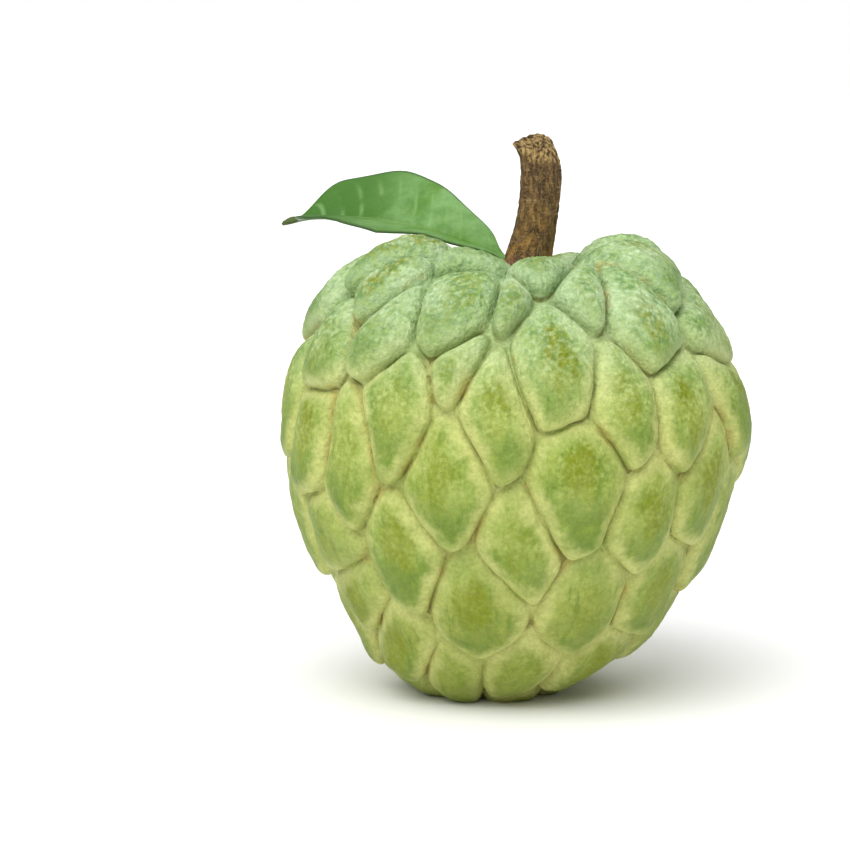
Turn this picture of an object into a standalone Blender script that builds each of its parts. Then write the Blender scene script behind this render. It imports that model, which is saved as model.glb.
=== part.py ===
"""A custard apple (sugar apple, Annona squamosa), as picked: the scaly fruit, its woody stem and one leaf.

Metres, +Z up. The front is -Y and +X is to its right. The origin is on the flat spot that the fruit rests on.
A place on the skin is a turn, in degrees round from the front towards +X, and a run, the way down along the
skin from the middle of the stem hollow.
"""
import math

import bmesh
import bpy
import numpy as np
from mathutils import Vector, noise

# The gap between pieces, and the least radius and share that are divided by
GAP = 0.0003
THINNEST = 0.00003
NEAR_NOUGHT = 0.01

# The fruit's form: radius, height and sideways shift of its skin, from the stem hollow round to the base
PROFILE = (
    (0.0000, 0.0778, 0.0068), (0.0050, 0.0785, 0.0065), (0.0100, 0.0812, 0.0059), (0.0152, 0.0837, 0.0053),
    (0.0206, 0.0844, 0.0050), (0.0262, 0.0830, 0.0047), (0.0313, 0.0794, 0.0044), (0.0366, 0.0725, 0.0041),
    (0.0415, 0.0626, 0.0044), (0.0431, 0.0520, 0.0048), (0.0418, 0.0410, 0.0036), (0.0380, 0.0310, 0.0033),
    (0.0333, 0.0218, 0.0029), (0.0280, 0.0138, 0.0025), (0.0229, 0.0078, 0.0007), (0.0158, 0.0036, -0.0009),
    (0.0084, 0.0005, -0.0004), (0.0000, -0.0004, 0.0000),
)
PROFILE_STEPS = 900
DEPTH_TO_WIDTH = 0.97
SADDLE = 0.0015
SADDLE_RADIUS = 0.020
SADDLE_SPREAD = 0.009
BACK_DROP = 0.0032
LUMP = 0.0007
LUMP_WAVES = 1.6

# The scales on the front, and the ring round the stem at the back: their middles, and how large they grow
SEEN_SCALES = (
    (7, 0.0256, 0.988), (-33, 0.0194, 1.0), (-69, 0.0246, 1.0), (67, 0.0279, 1.0), (20, 0.0352, 0.992),
    (-5, 0.0381, 0.988), (-22, 0.0370, 1.004), (-53, 0.0330, 1.0), (-92, 0.0359, 1.0), (38, 0.0419, 1.0),
    (9, 0.0492, 1.010), (-16, 0.0494, 0.996), (-41, 0.0427, 1.0), (74, 0.0454, 1.0), (-64, 0.0479, 1.0),
    (24, 0.0561, 1.004), (-6.5, 0.0570, 1.004), (-33, 0.0574, 1.004), (72, 0.0557, 1.0), (43, 0.0590, 1.0),
    (-64, 0.0637, 1.0), (13.5, 0.0694, 1.010), (-19, 0.0695, 1.004), (-47, 0.0672, 1.0), (54, 0.0727, 1.0),
    (35, 0.0768, 1.0), (0.5, 0.0820, 1.0), (-32, 0.0831, 1.0), (-60, 0.0861, 1.0), (49, 0.0941, 1.0),
    (23, 0.0964, 1.0), (-11, 0.0959, 1.0), (-58, 0.0951, 1.0), (-48, 0.1088, 1.0), (42, 0.1135, 1.0),
    (9, 0.1163, 1.0),
)
STEM_RING_SCALES = ((112, 0.0240, 1.0), (157, 0.0225, 1.0), (-157, 0.0235, 1.0), (-112, 0.0225, 1.0))
STEM_RING_RUN = 0.030
SCALE_COUNT = 95
SLENDER = 1.5
CLEAR_OF_SEEN = 0.72
EVENING_ROUNDS = 40
SAMPLES_PER_SCALE = 60
BORDER_CUTS = 3
BORDER_CROWDING = 1.9
SHORTEST_SIDE = 0.03
WAVER = 0.020
WAVER_WAVES = 3.0

# The scales' relief: how high they stand at runs from the stem to the base, and how their rims are shaped
RELIEF = (
    (0.000, 0.0010), (0.022, 0.0022), (0.035, 0.0022), (0.055, 0.0014), (0.085, 0.0011), (0.140, 0.0012),
)
RELIEF_SPREAD = 0.18
RIM_HEIGHT = 0.0007
RIM_WIDTH = 0.0008
TIP_LIFT = 0.0006
TIP_REACH = 0.012
CORNER_SOFTNESS = 0.0005

# The stem: the middle of its root, foot, shaft and broken end, with its radius there
STEM_LINE = (
    (0.0041, 0.0000, 0.0725, 0.0042), (0.0052, 0.0000, 0.0785, 0.0047), (0.0067, 0.0000, 0.0850, 0.0044),
    (0.0078, 0.0000, 0.0900, 0.0040), (0.0087, 0.0000, 0.0970, 0.0039), (0.0088, 0.0000, 0.1015, 0.0038),
    (0.0087, 0.0000, 0.1062, 0.0036),
)
STEM_SIDES = 20
STEM_RINGS = 13
STEM_STEPS = 200

# The bark's ridges: how many go round, how far they twist along the stem, where they start and their share
STEM_RIDGES = 0.025
STEM_RIDGE_WAVES = ((5, 2.5, 0.0, 1.0), (9, -4.0, 1.0, 0.6))

# The broken end: it starts at this share of the length, is low in front and on the right, and has a hook
STEM_END_START = 0.80
STEM_END_TILT = 0.0014
STEM_END_FRONT_FALL = 0.0020
STEM_END_RIGHT_FALL = 0.0034
STEM_END_INSET = 0.45
STEM_HOOK = 0.0019
STEM_HOOK_TURN = math.radians(196)
STEM_HOOK_SHARPNESS = 6

# The leaf: its midrib from the stem to the drip tip, with its half width there, and how its halves stand
LEAF_RIB = (
    (0.0027, 0.0040, 0.0828, 0.0008), (0.0007, 0.0054, 0.0840, 0.0013), (-0.0019, 0.0074, 0.0852, 0.0036),
    (-0.0063, 0.0112, 0.0866, 0.0061), (-0.0111, 0.0153, 0.0880, 0.0087), (-0.0176, 0.0208, 0.0893, 0.0118),
    (-0.0243, 0.0260, 0.0900, 0.0131), (-0.0314, 0.0305, 0.0901, 0.0106), (-0.0362, 0.0330, 0.0899, 0.0060),
    (-0.0385, 0.0344, 0.0895, 0.0012), (-0.0403, 0.0353, 0.0890, 0.0014), (-0.0422, 0.0360, 0.0886, 0.0004),
)
LEAF_THICKNESS = 0.0007
LEAF_STALK_THICKNESS = 0.0016
LEAF_STALK_SHARE = 0.06
LEAF_BACK_HALF = math.radians(52)
LEAF_FRONT_HALF = ((0.28, math.radians(12)), (0.44, math.radians(4)), (0.60, math.radians(10)))
LEAF_CURL = 0.12
LEAF_WAVE = 0.0001
LEAF_WAVES = 5.0
LEAF_ROWS = 22
LEAF_COLUMNS = 8
LEAF_STEPS = 300
LEAF_SPREADING_SHARE = 0.1
LEAF_LEAST_HALF_WIDTH = 0.0005

# The pieces' own colours and how rough they are
FINISHES = {
    "fruit_skin": ((0.42, 0.52, 0.20), 0.62),
    "stem_bark": ((0.12, 0.075, 0.03), 0.85),
    "leaf_green": ((0.12, 0.26, 0.07), 0.35),
}

# What counts as steep on the stem's unit cylinder, and the seed of all that is drawn by chance
STEEP = 0.5
SEED = 11


def clear_scene():
    """Take out whatever the scene holds."""
    for item in list(bpy.data.objects):
        bpy.data.objects.remove(item, do_unlink=True)


def smooth_curve(points, count):
    """Evenly spaced rows of the natural cubic spline through the given rows."""
    points = np.array(points)
    step = np.linalg.norm(np.diff(points[:, :3], axis=0), axis=1)
    knot = np.insert(np.cumsum(step), 0, 0.0)
    slope = np.diff(points, axis=0) / step[:, None]
    system = np.eye(len(points))
    pull = np.zeros(points.shape)
    for i in range(1, len(points) - 1):
        system[i, i - 1:i + 2] = step[i - 1], 2 * (step[i - 1] + step[i]), step[i]
        pull[i] = 6 * (slope[i] - slope[i - 1])
    bend = np.linalg.solve(system, pull)
    way = np.linspace(0, knot[-1], count)
    left = np.clip(np.searchsorted(knot, way) - 1, 0, len(step) - 1)
    width = step[left][:, None]
    near = (knot[left + 1] - way)[:, None] / width
    far = 1 - near
    bulge = (near ** 3 - near) * bend[left] + (far ** 3 - far) * bend[left + 1]
    return near * points[left] + far * points[left + 1] + bulge * width ** 2 / 6


def unit(rows):
    """The rows scaled to length 1."""
    return rows / np.linalg.norm(rows, axis=1)[:, None]


def skin_table():
    """The skin's profile in fine steps, with the angle on the ball that each step answers to.

    The ball keeps shapes true, but for SLENDER: a round spot on it is that much taller than wide on the skin.
    """
    curve = smooth_curve(PROFILE, PROFILE_STEPS)
    radius = np.maximum(curve[:, 0], THINNEST)
    run = np.insert(np.cumsum(np.hypot(*np.diff(curve[:, :2], axis=0).T)), 0, 0.0)
    stretch = np.insert(np.cumsum(np.diff(run) * 2 / (radius[1:] + radius[:-1])), 0, 0.0)
    stretch -= stretch[np.argmax(radius)]
    table = {"run": run, "radius": curve[:, 0], "height": curve[:, 1], "shift": curve[:, 2]}
    table["out"] = -np.gradient(curve[:, 1], run)
    table["up"] = np.gradient(curve[:, 0], run)
    table["angle"] = 2 * np.arctan(np.exp(stretch / SLENDER))
    return table


SKIN = skin_table()


def read_skin(column, angle):
    """A column of the skin's table at angles on the ball."""
    return np.interp(angle, SKIN["angle"], SKIN[column])


def ball_angle(ball):
    """How far round from the top the directions on the ball lie."""
    return np.arccos(np.clip(ball[:, 2], -1, 1))


def directions(turn, angle):
    """Unit directions on the ball from turns and angles in radians."""
    flat = np.sin(angle)
    return np.stack([flat * np.sin(turn), -flat * np.cos(turn), np.cos(angle)], axis=1)


def on_skin(ball, lift):
    """The points that stand off the skin by a lift, in the given directions of the ball."""
    turn = np.arctan2(ball[:, 0], -ball[:, 1])
    angle = ball_angle(ball)
    radius = read_skin("radius", angle)
    crown = np.exp(-((radius - SADDLE_RADIUS) / SADDLE_SPREAD) ** 2) * (angle < math.pi / 2)
    back = np.maximum(-np.cos(turn), 0.0) ** 2
    height = read_skin("height", angle) - crown * (SADDLE * np.cos(2 * turn) + BACK_DROP * back)
    radius = radius + lift * read_skin("out", angle)
    height = np.maximum(height + lift * read_skin("up", angle), 0.0)
    across = radius * np.sin(turn) + read_skin("shift", angle)
    return np.stack([across, -DEPTH_TO_WIDTH * radius * np.cos(turn), height], axis=1)


def golden_spiral(count):
    """Directions spread evenly over the ball, in the order of a seed head."""
    step = np.arange(count) + 0.5
    return directions(math.pi * (1 + 5 ** 0.5) * step, np.arccos(1 - 2 * step / count))


def scale_centres():
    """Where the scales sit on the ball: those seen in front stay, the rest are spread evenly round them.

    A centre's length says how large its scale grows: a border lies where two centres reach equally far.
    """
    placed = np.array(SEEN_SCALES + STEM_RING_SCALES)
    angle = np.interp(placed[:, 1], SKIN["run"], SKIN["angle"])
    fixed = directions(np.radians(placed[:, 0]), angle) * placed[:, 2:]
    spacing = math.sqrt(4 * math.pi / SCALE_COUNT)
    free = golden_spiral(SCALE_COUNT)
    clear = (free @ fixed.T).max(axis=1) < math.cos(spacing * CLEAR_OF_SEEN)
    outside_ring = ball_angle(free) > np.interp(STEM_RING_RUN, SKIN["run"], SKIN["angle"])
    free = free[clear & outside_ring]
    samples = golden_spiral(SCALE_COUNT * SAMPLES_PER_SCALE)
    for _ in range(EVENING_ROUNDS):
        owner = (samples @ np.vstack([fixed, free]).T).argmax(axis=1) - len(fixed)
        free = unit(np.array([samples[owner == i].mean(axis=0) for i in range(len(free))]))
    return np.vstack([fixed, free])


def cell_ball(centres):
    """A ball with one many-sided face round each centre, whose corners are the hull's outward normals."""
    hull = bmesh.new()
    for centre in centres:
        hull.verts.new(centre)
    bmesh.ops.convex_hull(hull, input=hull.verts[:])
    ball = bmesh.new()
    corners = {}
    for face in sorted(hull.faces, key=lambda face: face.calc_center_median()[:]):
        outward = math.copysign(1.0, face.normal.dot(face.calc_center_median()))
        corners[face] = ball.verts.new(face.normal * outward)
    for vert in hull.verts:
        axis = vert.co.normalized()
        side = axis.orthogonal()
        ahead = axis.cross(side)
        ring = {face: corners[face].co for face in vert.link_faces}
        turns = {face: math.atan2(place.dot(ahead), place.dot(side)) for face, place in ring.items()}
        ball.faces.new([corners[face] for face in sorted(turns, key=turns.get)])
    hull.free()
    bmesh.ops.remove_doubles(ball, verts=ball.verts[:], dist=SHORTEST_SIDE)
    return ball


def cut_scales(ball):
    """Cut each face of the ball into triangles in rings, and return how near its rim each point lies."""
    rim = ball.verts.layers.float.new("rim")
    for vert in ball.verts:
        vert[rim] = 1.0
    for vert in bmesh.ops.poke(ball, faces=ball.faces[:])["verts"]:
        vert[rim] = 0.0
    bmesh.ops.subdivide_edges(ball, edges=ball.edges[:], cuts=BORDER_CUTS, use_grid_fill=True)
    return np.array([vert[rim] for vert in ball.verts])


def crowd_rings(points, rim, owner, count):
    """Move the rings of points within each scale closer to its rim, and put all points on the unit ball."""
    middle = np.zeros((count, 3))
    at_middle = rim < NEAR_NOUGHT
    middle[owner[at_middle]] = points[at_middle]
    reach = 1 - (1 - np.clip(rim, 0, 1)) ** BORDER_CROWDING
    grown = np.where(at_middle, 1.0, reach / np.maximum(rim, NEAR_NOUGHT))
    return unit(middle[owner] + (points - middle[owner]) * grown[:, None])


def distance_to_border(ball, centres, owner):
    """How far each point lies inside its scale's border, measured on the skin."""
    angle = ball_angle(ball)
    level = np.maximum(np.sin(angle), NEAR_NOUGHT)
    size = np.maximum(read_skin("radius", angle), THINNEST) / level
    east = np.stack([-ball[:, 1], ball[:, 0]], axis=1) / level[:, None]
    crowd = np.zeros(len(ball))
    for j, centre in enumerate(centres):
        between = centres[owner] - centre
        length = np.linalg.norm(between, axis=1)
        between /= np.maximum(length, NEAR_NOUGHT)[:, None]
        sideways = (between[:, :2] * east).sum(axis=1)
        slope = np.sqrt(sideways ** 2 + np.maximum(1 - sideways ** 2, 0) / SLENDER ** 2) / size
        inside = (between * ball).sum(axis=1) / slope
        crowd += np.where(owner == j, 0.0, np.exp(-np.maximum(inside, 0) / CORNER_SOFTNESS))
    return np.maximum(-CORNER_SOFTNESS * np.log(crowd), 0.0)


def scale_relief(ball, centres, owner, rim):
    """How far the scales stand off the skin: a quick rise at the rim, a dome, and a lifted lower tip."""
    inside = np.where(rim > 1 - NEAR_NOUGHT, 0.0, distance_to_border(ball, centres, owner))
    widest = np.zeros(len(centres))
    np.maximum.at(widest, owner, inside)
    run = read_skin("run", ball_angle(ball))
    below = run - read_skin("run", ball_angle(unit(centres)))[owner]
    rise = 1 - np.exp(-inside / RIM_WIDTH)
    dome = 1 - (1 - inside / widest[owner]) ** 2
    full = np.random.default_rng(SEED).uniform(1 - RELIEF_SPREAD, 1 + RELIEF_SPREAD, len(centres))[owner]
    height = np.interp(run, *np.array(RELIEF).T) * full
    tip = TIP_LIFT * np.clip(below / TIP_REACH, -1, 1)
    return RIM_HEIGHT * rise + height * dome + tip * rise


def waver(ball):
    """Bend the borders gently, and give the whole skin a few broad lumps."""
    noise.seed_set(SEED)
    bent = np.array([noise.noise_vector(Vector(point) * WAVER_WAVES) for point in ball])
    lumps = np.array([noise.noise(Vector(point) * LUMP_WAVES) for point in ball])
    return unit(ball + bent * WAVER), lumps * LUMP


def add_object(name, mesh, collection, material):
    """Put a mesh in the scene as an object with its own material."""
    item = bpy.data.objects.new(name, mesh)
    collection.objects.link(item)
    if material is not None:
        mesh.materials.append(material)
    mesh.shade_smooth()
    return item


def finish_material(name):
    """A plain finish with the piece's own colour."""
    colour, roughness = FINISHES[name]
    material = bpy.data.materials.new(name)
    material.use_nodes = True
    shader = material.node_tree.nodes["Principled BSDF"]
    shader.inputs["Base Color"].default_value = (*colour, 1.0)
    shader.inputs["Roughness"].default_value = roughness
    shader.inputs["Metallic"].default_value = 0.0
    return material


def mesh_from(shape, name):
    """Turn a finished bmesh into a mesh."""
    mesh = bpy.data.meshes.new(name)
    shape.to_mesh(mesh)
    shape.free()
    return mesh


def make_fruit(collection):
    """The fruit: a ball of scales drawn onto the heart-shaped skin, each scale raised by the relief."""
    centres = scale_centres()
    ball = cell_ball(centres)
    rim = cut_scales(ball)
    points = np.array([vert.co for vert in ball.verts])
    owner = (points @ centres.T).argmax(axis=1)
    points = crowd_rings(points, rim, owner, len(centres))
    relief = scale_relief(points, centres, owner, rim)
    bent, lumps = waver(points)
    for vert, place in zip(ball.verts, on_skin(bent, relief + lumps)):
        vert.co = place
    bmesh.ops.recalc_face_normals(ball, faces=ball.faces[:])
    skin = finish_material("fruit_skin")
    return add_object("fruit", mesh_from(ball, "fruit"), collection, skin)


def stem_places(points, grow):
    """The stem's surface for points of a unit cylinder, grown outwards and down by a given amount."""
    turn = np.arctan2(points[:, 1], points[:, 0])
    reach = np.hypot(points[:, 0], points[:, 1])
    rise = points[:, 2] + 0.5
    line = smooth_curve(STEM_LINE, STEM_STEPS)
    along = np.linspace(0, 1, len(line))
    middle = np.stack([np.interp(rise, along, line[:, i]) for i in range(3)], axis=1)
    ridges = 0.0
    for count, twist, start, share in STEM_RIDGE_WAVES:
        ridges = ridges + share * np.sin(count * turn + twist * rise + start)
    end = np.clip((rise - STEM_END_START) / (1 - STEM_END_START), 0, 1)
    hook = STEM_HOOK * np.clip(np.cos(turn - STEM_HOOK_TURN), 0, 1) ** STEM_HOOK_SHARPNESS * end ** 3
    radius = np.interp(rise, along, line[:, 3]) * (1 + STEM_RIDGES * ridges) + hook
    front = np.maximum(-np.sin(turn), 0) * reach
    right = np.maximum(np.cos(turn), 0) * reach
    fall = STEM_END_FRONT_FALL * front ** 2 + STEM_END_RIGHT_FALL * right ** 3
    middle[:, 2] += end * (STEM_END_TILT * np.sin(turn) * reach - fall)
    middle[:, 2] -= np.where(rise < NEAR_NOUGHT, grow, 0.0)
    middle[:, 0] += (radius + grow) * reach * np.cos(turn)
    middle[:, 1] += (radius + grow) * reach * np.sin(turn)
    return middle


def stem_shape(grow):
    """The stem, or its socket's cutter, as a cylinder with rings and a torn upper end."""
    shape = bmesh.new()
    bmesh.ops.create_cone(shape, cap_ends=True, segments=STEM_SIDES, radius1=1.0, radius2=1.0, depth=1.0)
    upright = [edge for edge in shape.edges if abs(edge.verts[0].co.z - edge.verts[1].co.z) > STEEP]
    bmesh.ops.subdivide_edges(shape, edges=upright, cuts=STEM_RINGS)
    caps = [face for face in shape.faces if abs(face.normal.z) > STEEP]
    bmesh.ops.inset_individual(shape, faces=caps, thickness=STEM_END_INSET)
    bmesh.ops.poke(shape, faces=[face for face in caps if face.is_valid])
    bmesh.ops.triangulate(shape, faces=shape.faces[:])
    places = stem_places(np.array([vert.co for vert in shape.verts]), grow)
    for vert, place in zip(shape.verts, places):
        vert.co = place
    return shape


def make_stem(collection):
    """The woody stalk, broken off at its upper end."""
    bark = finish_material("stem_bark")
    return add_object("stem", mesh_from(stem_shape(0.0), "stem"), collection, bark)


def cut_socket(fruit, collection):
    """Cut the socket that the stem's root sits in, with a gap all round."""
    cutter = add_object("socket_cutter", mesh_from(stem_shape(GAP), "socket_cutter"), collection, None)
    cutter.hide_render = True
    cutter.display_type = "WIRE"
    cut = fruit.modifiers.new("stem socket", "BOOLEAN")
    cut.operation = "DIFFERENCE"
    cut.solver = "EXACT"
    cut.object = cutter


def past_stalk(along):
    """0 on the leaf's stalk, and from there up to 1 where the blade has spread."""
    return np.clip((along - LEAF_STALK_SHARE) / LEAF_SPREADING_SHARE, 0, 1)


def leaf_places(along, across):
    """The leaf's middle surface: a midrib with two halves that stand off it, waved at their margins."""
    line = smooth_curve(LEAF_RIB, LEAF_STEPS)
    step = np.linspace(0, 1, len(line))
    rib = np.stack([np.interp(along, step, line[:, i]) for i in range(4)], axis=1)
    slope = np.gradient(line[:, :3], axis=0).T
    ahead = unit(np.stack([np.interp(along, step, column) for column in slope], axis=1))
    side = unit(np.cross(ahead, (0.0, 0.0, 1.0)))
    up = np.cross(side, ahead)
    front_half = np.interp(along, *np.array(LEAF_FRONT_HALF).T)
    stand = np.where(across > 0, LEAF_BACK_HALF, front_half)
    stand = stand * np.clip(along / LEAF_STALK_SHARE, 0, 1) - LEAF_CURL * np.abs(across)
    reach = np.maximum(rib[:, 3], LEAF_LEAST_HALF_WIDTH) * np.abs(across)
    wave = LEAF_WAVE * np.sin(2 * math.pi * LEAF_WAVES * along + across) * across ** 2
    wave *= past_stalk(along)
    sideways = reach * np.cos(stand) * np.sign(across)
    return rib[:, :3] + side * sideways[:, None] + up * (reach * np.sin(stand) + wave)[:, None]


def make_leaf(collection):
    """The leaf: a thin waved blade that narrows into a short round stalk and into a drip tip."""
    sheet = bmesh.new()
    bmesh.ops.create_grid(sheet, x_segments=LEAF_ROWS, y_segments=LEAF_COLUMNS, size=0.5)
    bmesh.ops.triangulate(sheet, faces=sheet.faces[:], quad_method="ALTERNATE")
    flat = np.array([vert.co for vert in sheet.verts])
    along = flat[:, 0] + 0.5
    across = flat[:, 1] * 2
    for vert, place in zip(sheet.verts, leaf_places(along, across)):
        vert.co = place
    green = finish_material("leaf_green")
    leaf = add_object("leaf", mesh_from(sheet, "leaf"), collection, green)
    stalk = (1 - past_stalk(along)) * np.sqrt(1 - across ** 2)
    thickness = LEAF_THICKNESS + (LEAF_STALK_THICKNESS - LEAF_THICKNESS) * stalk
    group = leaf.vertex_groups.new(name="thickness")
    for i, weight in enumerate(thickness / LEAF_STALK_THICKNESS):
        group.add([i], float(weight), "REPLACE")
    solid = leaf.modifiers.new("blade", "SOLIDIFY")
    solid.thickness = LEAF_STALK_THICKNESS
    solid.offset = 0.0
    solid.vertex_group = group.name
    return leaf


def main():
    """Build the fruit, its stem and its leaf."""
    clear_scene()
    parts = bpy.data.collections.new("custard_apple")
    cutters = bpy.data.collections.new("cutters")
    bpy.context.scene.collection.children.link(parts)
    bpy.context.scene.collection.children.link(cutters)
    fruit = make_fruit(parts)
    make_stem(parts)
    cut_socket(fruit, cutters)
    make_leaf(parts)


main()
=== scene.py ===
"""The looks of a custard apple, as picked: the scaly fruit, its woody stem and its glossy leaf.

Metres, +Z up, the front is -Y. A place on the fruit's skin is a turn, in degrees round from the front
towards +X, and a run, the way down along the skin from the middle of the stem hollow.
"""
import math

import bmesh
import bpy
import numpy as np
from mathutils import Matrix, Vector, noise


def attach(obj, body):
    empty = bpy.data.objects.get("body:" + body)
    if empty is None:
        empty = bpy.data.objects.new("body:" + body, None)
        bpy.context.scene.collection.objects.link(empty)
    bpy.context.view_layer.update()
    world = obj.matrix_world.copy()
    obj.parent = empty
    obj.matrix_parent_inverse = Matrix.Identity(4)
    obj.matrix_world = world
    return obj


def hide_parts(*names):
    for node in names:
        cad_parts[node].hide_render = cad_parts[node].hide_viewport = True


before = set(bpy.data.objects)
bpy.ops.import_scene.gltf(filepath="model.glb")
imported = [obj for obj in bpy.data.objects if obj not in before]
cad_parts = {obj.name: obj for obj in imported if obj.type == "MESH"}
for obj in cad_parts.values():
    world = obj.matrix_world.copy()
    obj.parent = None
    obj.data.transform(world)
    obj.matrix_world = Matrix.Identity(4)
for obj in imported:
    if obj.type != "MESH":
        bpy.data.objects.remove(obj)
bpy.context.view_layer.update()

# The fruit's form: radius, height and sideways shift of its skin, from the stem hollow round to the base
PROFILE = (
    (0.0000, 0.0778, 0.0068), (0.0050, 0.0785, 0.0065), (0.0100, 0.0812, 0.0059), (0.0152, 0.0837, 0.0053),
    (0.0206, 0.0844, 0.0050), (0.0262, 0.0830, 0.0047), (0.0313, 0.0794, 0.0044), (0.0366, 0.0725, 0.0041),
    (0.0415, 0.0626, 0.0044), (0.0431, 0.0520, 0.0048), (0.0418, 0.0410, 0.0036), (0.0380, 0.0310, 0.0033),
    (0.0333, 0.0218, 0.0029), (0.0280, 0.0138, 0.0025), (0.0229, 0.0078, 0.0007), (0.0158, 0.0036, -0.0009),
    (0.0084, 0.0005, -0.0004), (0.0000, -0.0004, 0.0000),
)
PROFILE_STEPS = 900
THINNEST = 0.00003
NEAR_NOUGHT = 0.01
RIM_SHARE = 0.999
DEPTH_TO_WIDTH = 0.97
SADDLE = 0.0015
SADDLE_RADIUS = 0.020
SADDLE_SPREAD = 0.009
BACK_DROP = 0.0032
LUMP = 0.0007
LUMP_WAVES = 1.6

# The scales on the front, and the ring round the stem at the back: their middles, and how large they grow
SEEN_SCALES = (
    (7, 0.0256, 0.988), (-33, 0.0194, 1.0), (-69, 0.0246, 1.0), (67, 0.0279, 1.0), (20, 0.0352, 0.992),
    (-5, 0.0381, 0.988), (-22, 0.0370, 1.004), (-53, 0.0330, 1.0), (-92, 0.0359, 1.0), (38, 0.0419, 1.0),
    (9, 0.0492, 1.010), (-16, 0.0494, 0.996), (-41, 0.0427, 1.0), (74, 0.0454, 1.0), (-64, 0.0479, 1.0),
    (24, 0.0561, 1.004), (-6.5, 0.0570, 1.004), (-33, 0.0574, 1.004), (72, 0.0557, 1.0), (43, 0.0590, 1.0),
    (-64, 0.0637, 1.0), (13.5, 0.0694, 1.010), (-19, 0.0695, 1.004), (-47, 0.0672, 1.0), (54, 0.0727, 1.0),
    (35, 0.0768, 1.0), (0.5, 0.0820, 1.0), (-32, 0.0831, 1.0), (-60, 0.0861, 1.0), (49, 0.0941, 1.0),
    (23, 0.0964, 1.0), (-11, 0.0959, 1.0), (-58, 0.0951, 1.0), (-48, 0.1088, 1.0), (42, 0.1135, 1.0),
    (9, 0.1163, 1.0),
)
STEM_RING_SCALES = ((112, 0.0240, 1.0), (157, 0.0225, 1.0), (-157, 0.0235, 1.0), (-112, 0.0225, 1.0))
STEM_RING_RUN = 0.030
SCALE_COUNT = 95
SLENDER = 1.5
CLEAR_OF_SEEN = 0.72
EVENING_ROUNDS = 40
SAMPLES_PER_SCALE = 60
BORDER_CUTS = 18
BORDER_CROWDING = 1.35
SHORTEST_SIDE = 0.008
WAVER = 0.020
WAVER_WAVES = 3.0
FINE_WAVER = 0.006
FINE_WAVER_WAVES = 14.0

# The scales' relief: how high they stand at runs from the stem to the base, their rims, creases and grain
RELIEF = (
    (0.000, 0.0010), (0.022, 0.0022), (0.035, 0.0022), (0.055, 0.0014), (0.085, 0.0011), (0.140, 0.0012),
)
RELIEF_SPREAD = 0.18
RIM_HEIGHT = 0.0010
CROWN_RIM_GAIN = 0.7
UPPER_RIM_WIDTH = 0.0015
LOWER_RIM_WIDTH = 0.0007
TIP_LIFT = 0.0010
TIP_REACH = 0.012
CORNER_SOFTNESS = 0.0008
OVERHANG = 0.55
OVERHANG_WIDTH = 0.0022
SUNK = 0.0003
CROWN_SUNK = 0.0006
CREASE_DEPTHS = ((0.030, 0.00120), (0.060, 0.00045), (0.100, 0.00018))
CREASE_WIDTH = 0.00040
DIMPLE = 0.00028
DIMPLE_SIZE = 0.0045
KNOB = 0.00077
KNOB_SIZE = 0.0015
KNOBBY_RUNS = (0.060, 0.025)
LEAST_KNOBBY = 0.12
STREAK_RIDGE = 0.00010
STREAK_SIZE = (0.0011, 0.0090)
FINE_RELIEF_START = 0.0012

# The stem: its middle from the root up to the broken end, its radius there, and how finely it is cut
STEM_LINE = (
    (0.0041, 0.0000, 0.0725, 0.0042), (0.0052, 0.0000, 0.0785, 0.0047), (0.0067, 0.0000, 0.0850, 0.0044),
    (0.0078, 0.0000, 0.0900, 0.0040), (0.0087, 0.0000, 0.0970, 0.0039), (0.0088, 0.0000, 0.1015, 0.0038),
    (0.0087, 0.0000, 0.1062, 0.0036),
)
STEM_SIDES = 120
STEM_RINGS = 130
STEM_END_RINGS = 16
STEM_END_INSET = 0.94
STEEP = 0.5
STEM_STEPS = 200

# The bark's ridges: how many go round, how far they twist along the stem, where they start and their share
STEM_RIDGES = 0.025
STEM_RIDGE_WAVES = ((5, 2.5, 0.0, 1.0), (9, -4.0, 1.0, 0.6))

# The broken end: it starts at this share of the length, is low in front and on the right, and has a hook
STEM_END_START = 0.80
STEM_END_TILT = 0.0014
STEM_END_FRONT_FALL = 0.0020
STEM_END_RIGHT_FALL = 0.0034
STEM_HOOK = 0.0019
STEM_HOOK_TURN = math.radians(196)
STEM_HOOK_SHARPNESS = 6
TORN_HEIGHT = 0.0005
TORN_SIZE = 0.30
TORN_START = 0.97

# The bark's furrows and wrinkles: how closely they follow along the stem, their size, start and depth
BARK_LENGTH = 8.0
BARK_RELIEF = ((0.22, 0.19, 0.0, 0.00018), (0.4, 0.09, 4.0, 0.000108), (2.6, 0.4, 7.0, 0.00010))

# The leaf: its midrib from the stem to the drip tip, with its half width there, and how its halves stand
LEAF_RIB = (
    (0.0027, 0.0040, 0.0828, 0.0008), (0.0007, 0.0054, 0.0840, 0.0013), (-0.0019, 0.0074, 0.0852, 0.0036),
    (-0.0063, 0.0112, 0.0866, 0.0061), (-0.0111, 0.0153, 0.0880, 0.0087), (-0.0176, 0.0208, 0.0893, 0.0118),
    (-0.0243, 0.0260, 0.0900, 0.0131), (-0.0314, 0.0305, 0.0901, 0.0106), (-0.0362, 0.0330, 0.0899, 0.0060),
    (-0.0385, 0.0344, 0.0895, 0.0012), (-0.0403, 0.0353, 0.0890, 0.0014), (-0.0422, 0.0360, 0.0886, 0.0004),
)
LEAF_THICKNESS = 0.0005
LEAF_STALK_THICKNESS = 0.0016
LEAF_STALK_SHARE = 0.06
LEAF_BACK_HALF = math.radians(52)
LEAF_FRONT_HALF = ((0.28, math.radians(12)), (0.44, math.radians(4)), (0.60, math.radians(10)))
LEAF_CURL = 0.12
LEAF_WAVE = 0.0001
LEAF_WAVES = 5.0
LEAF_ROWS = 220
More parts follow.
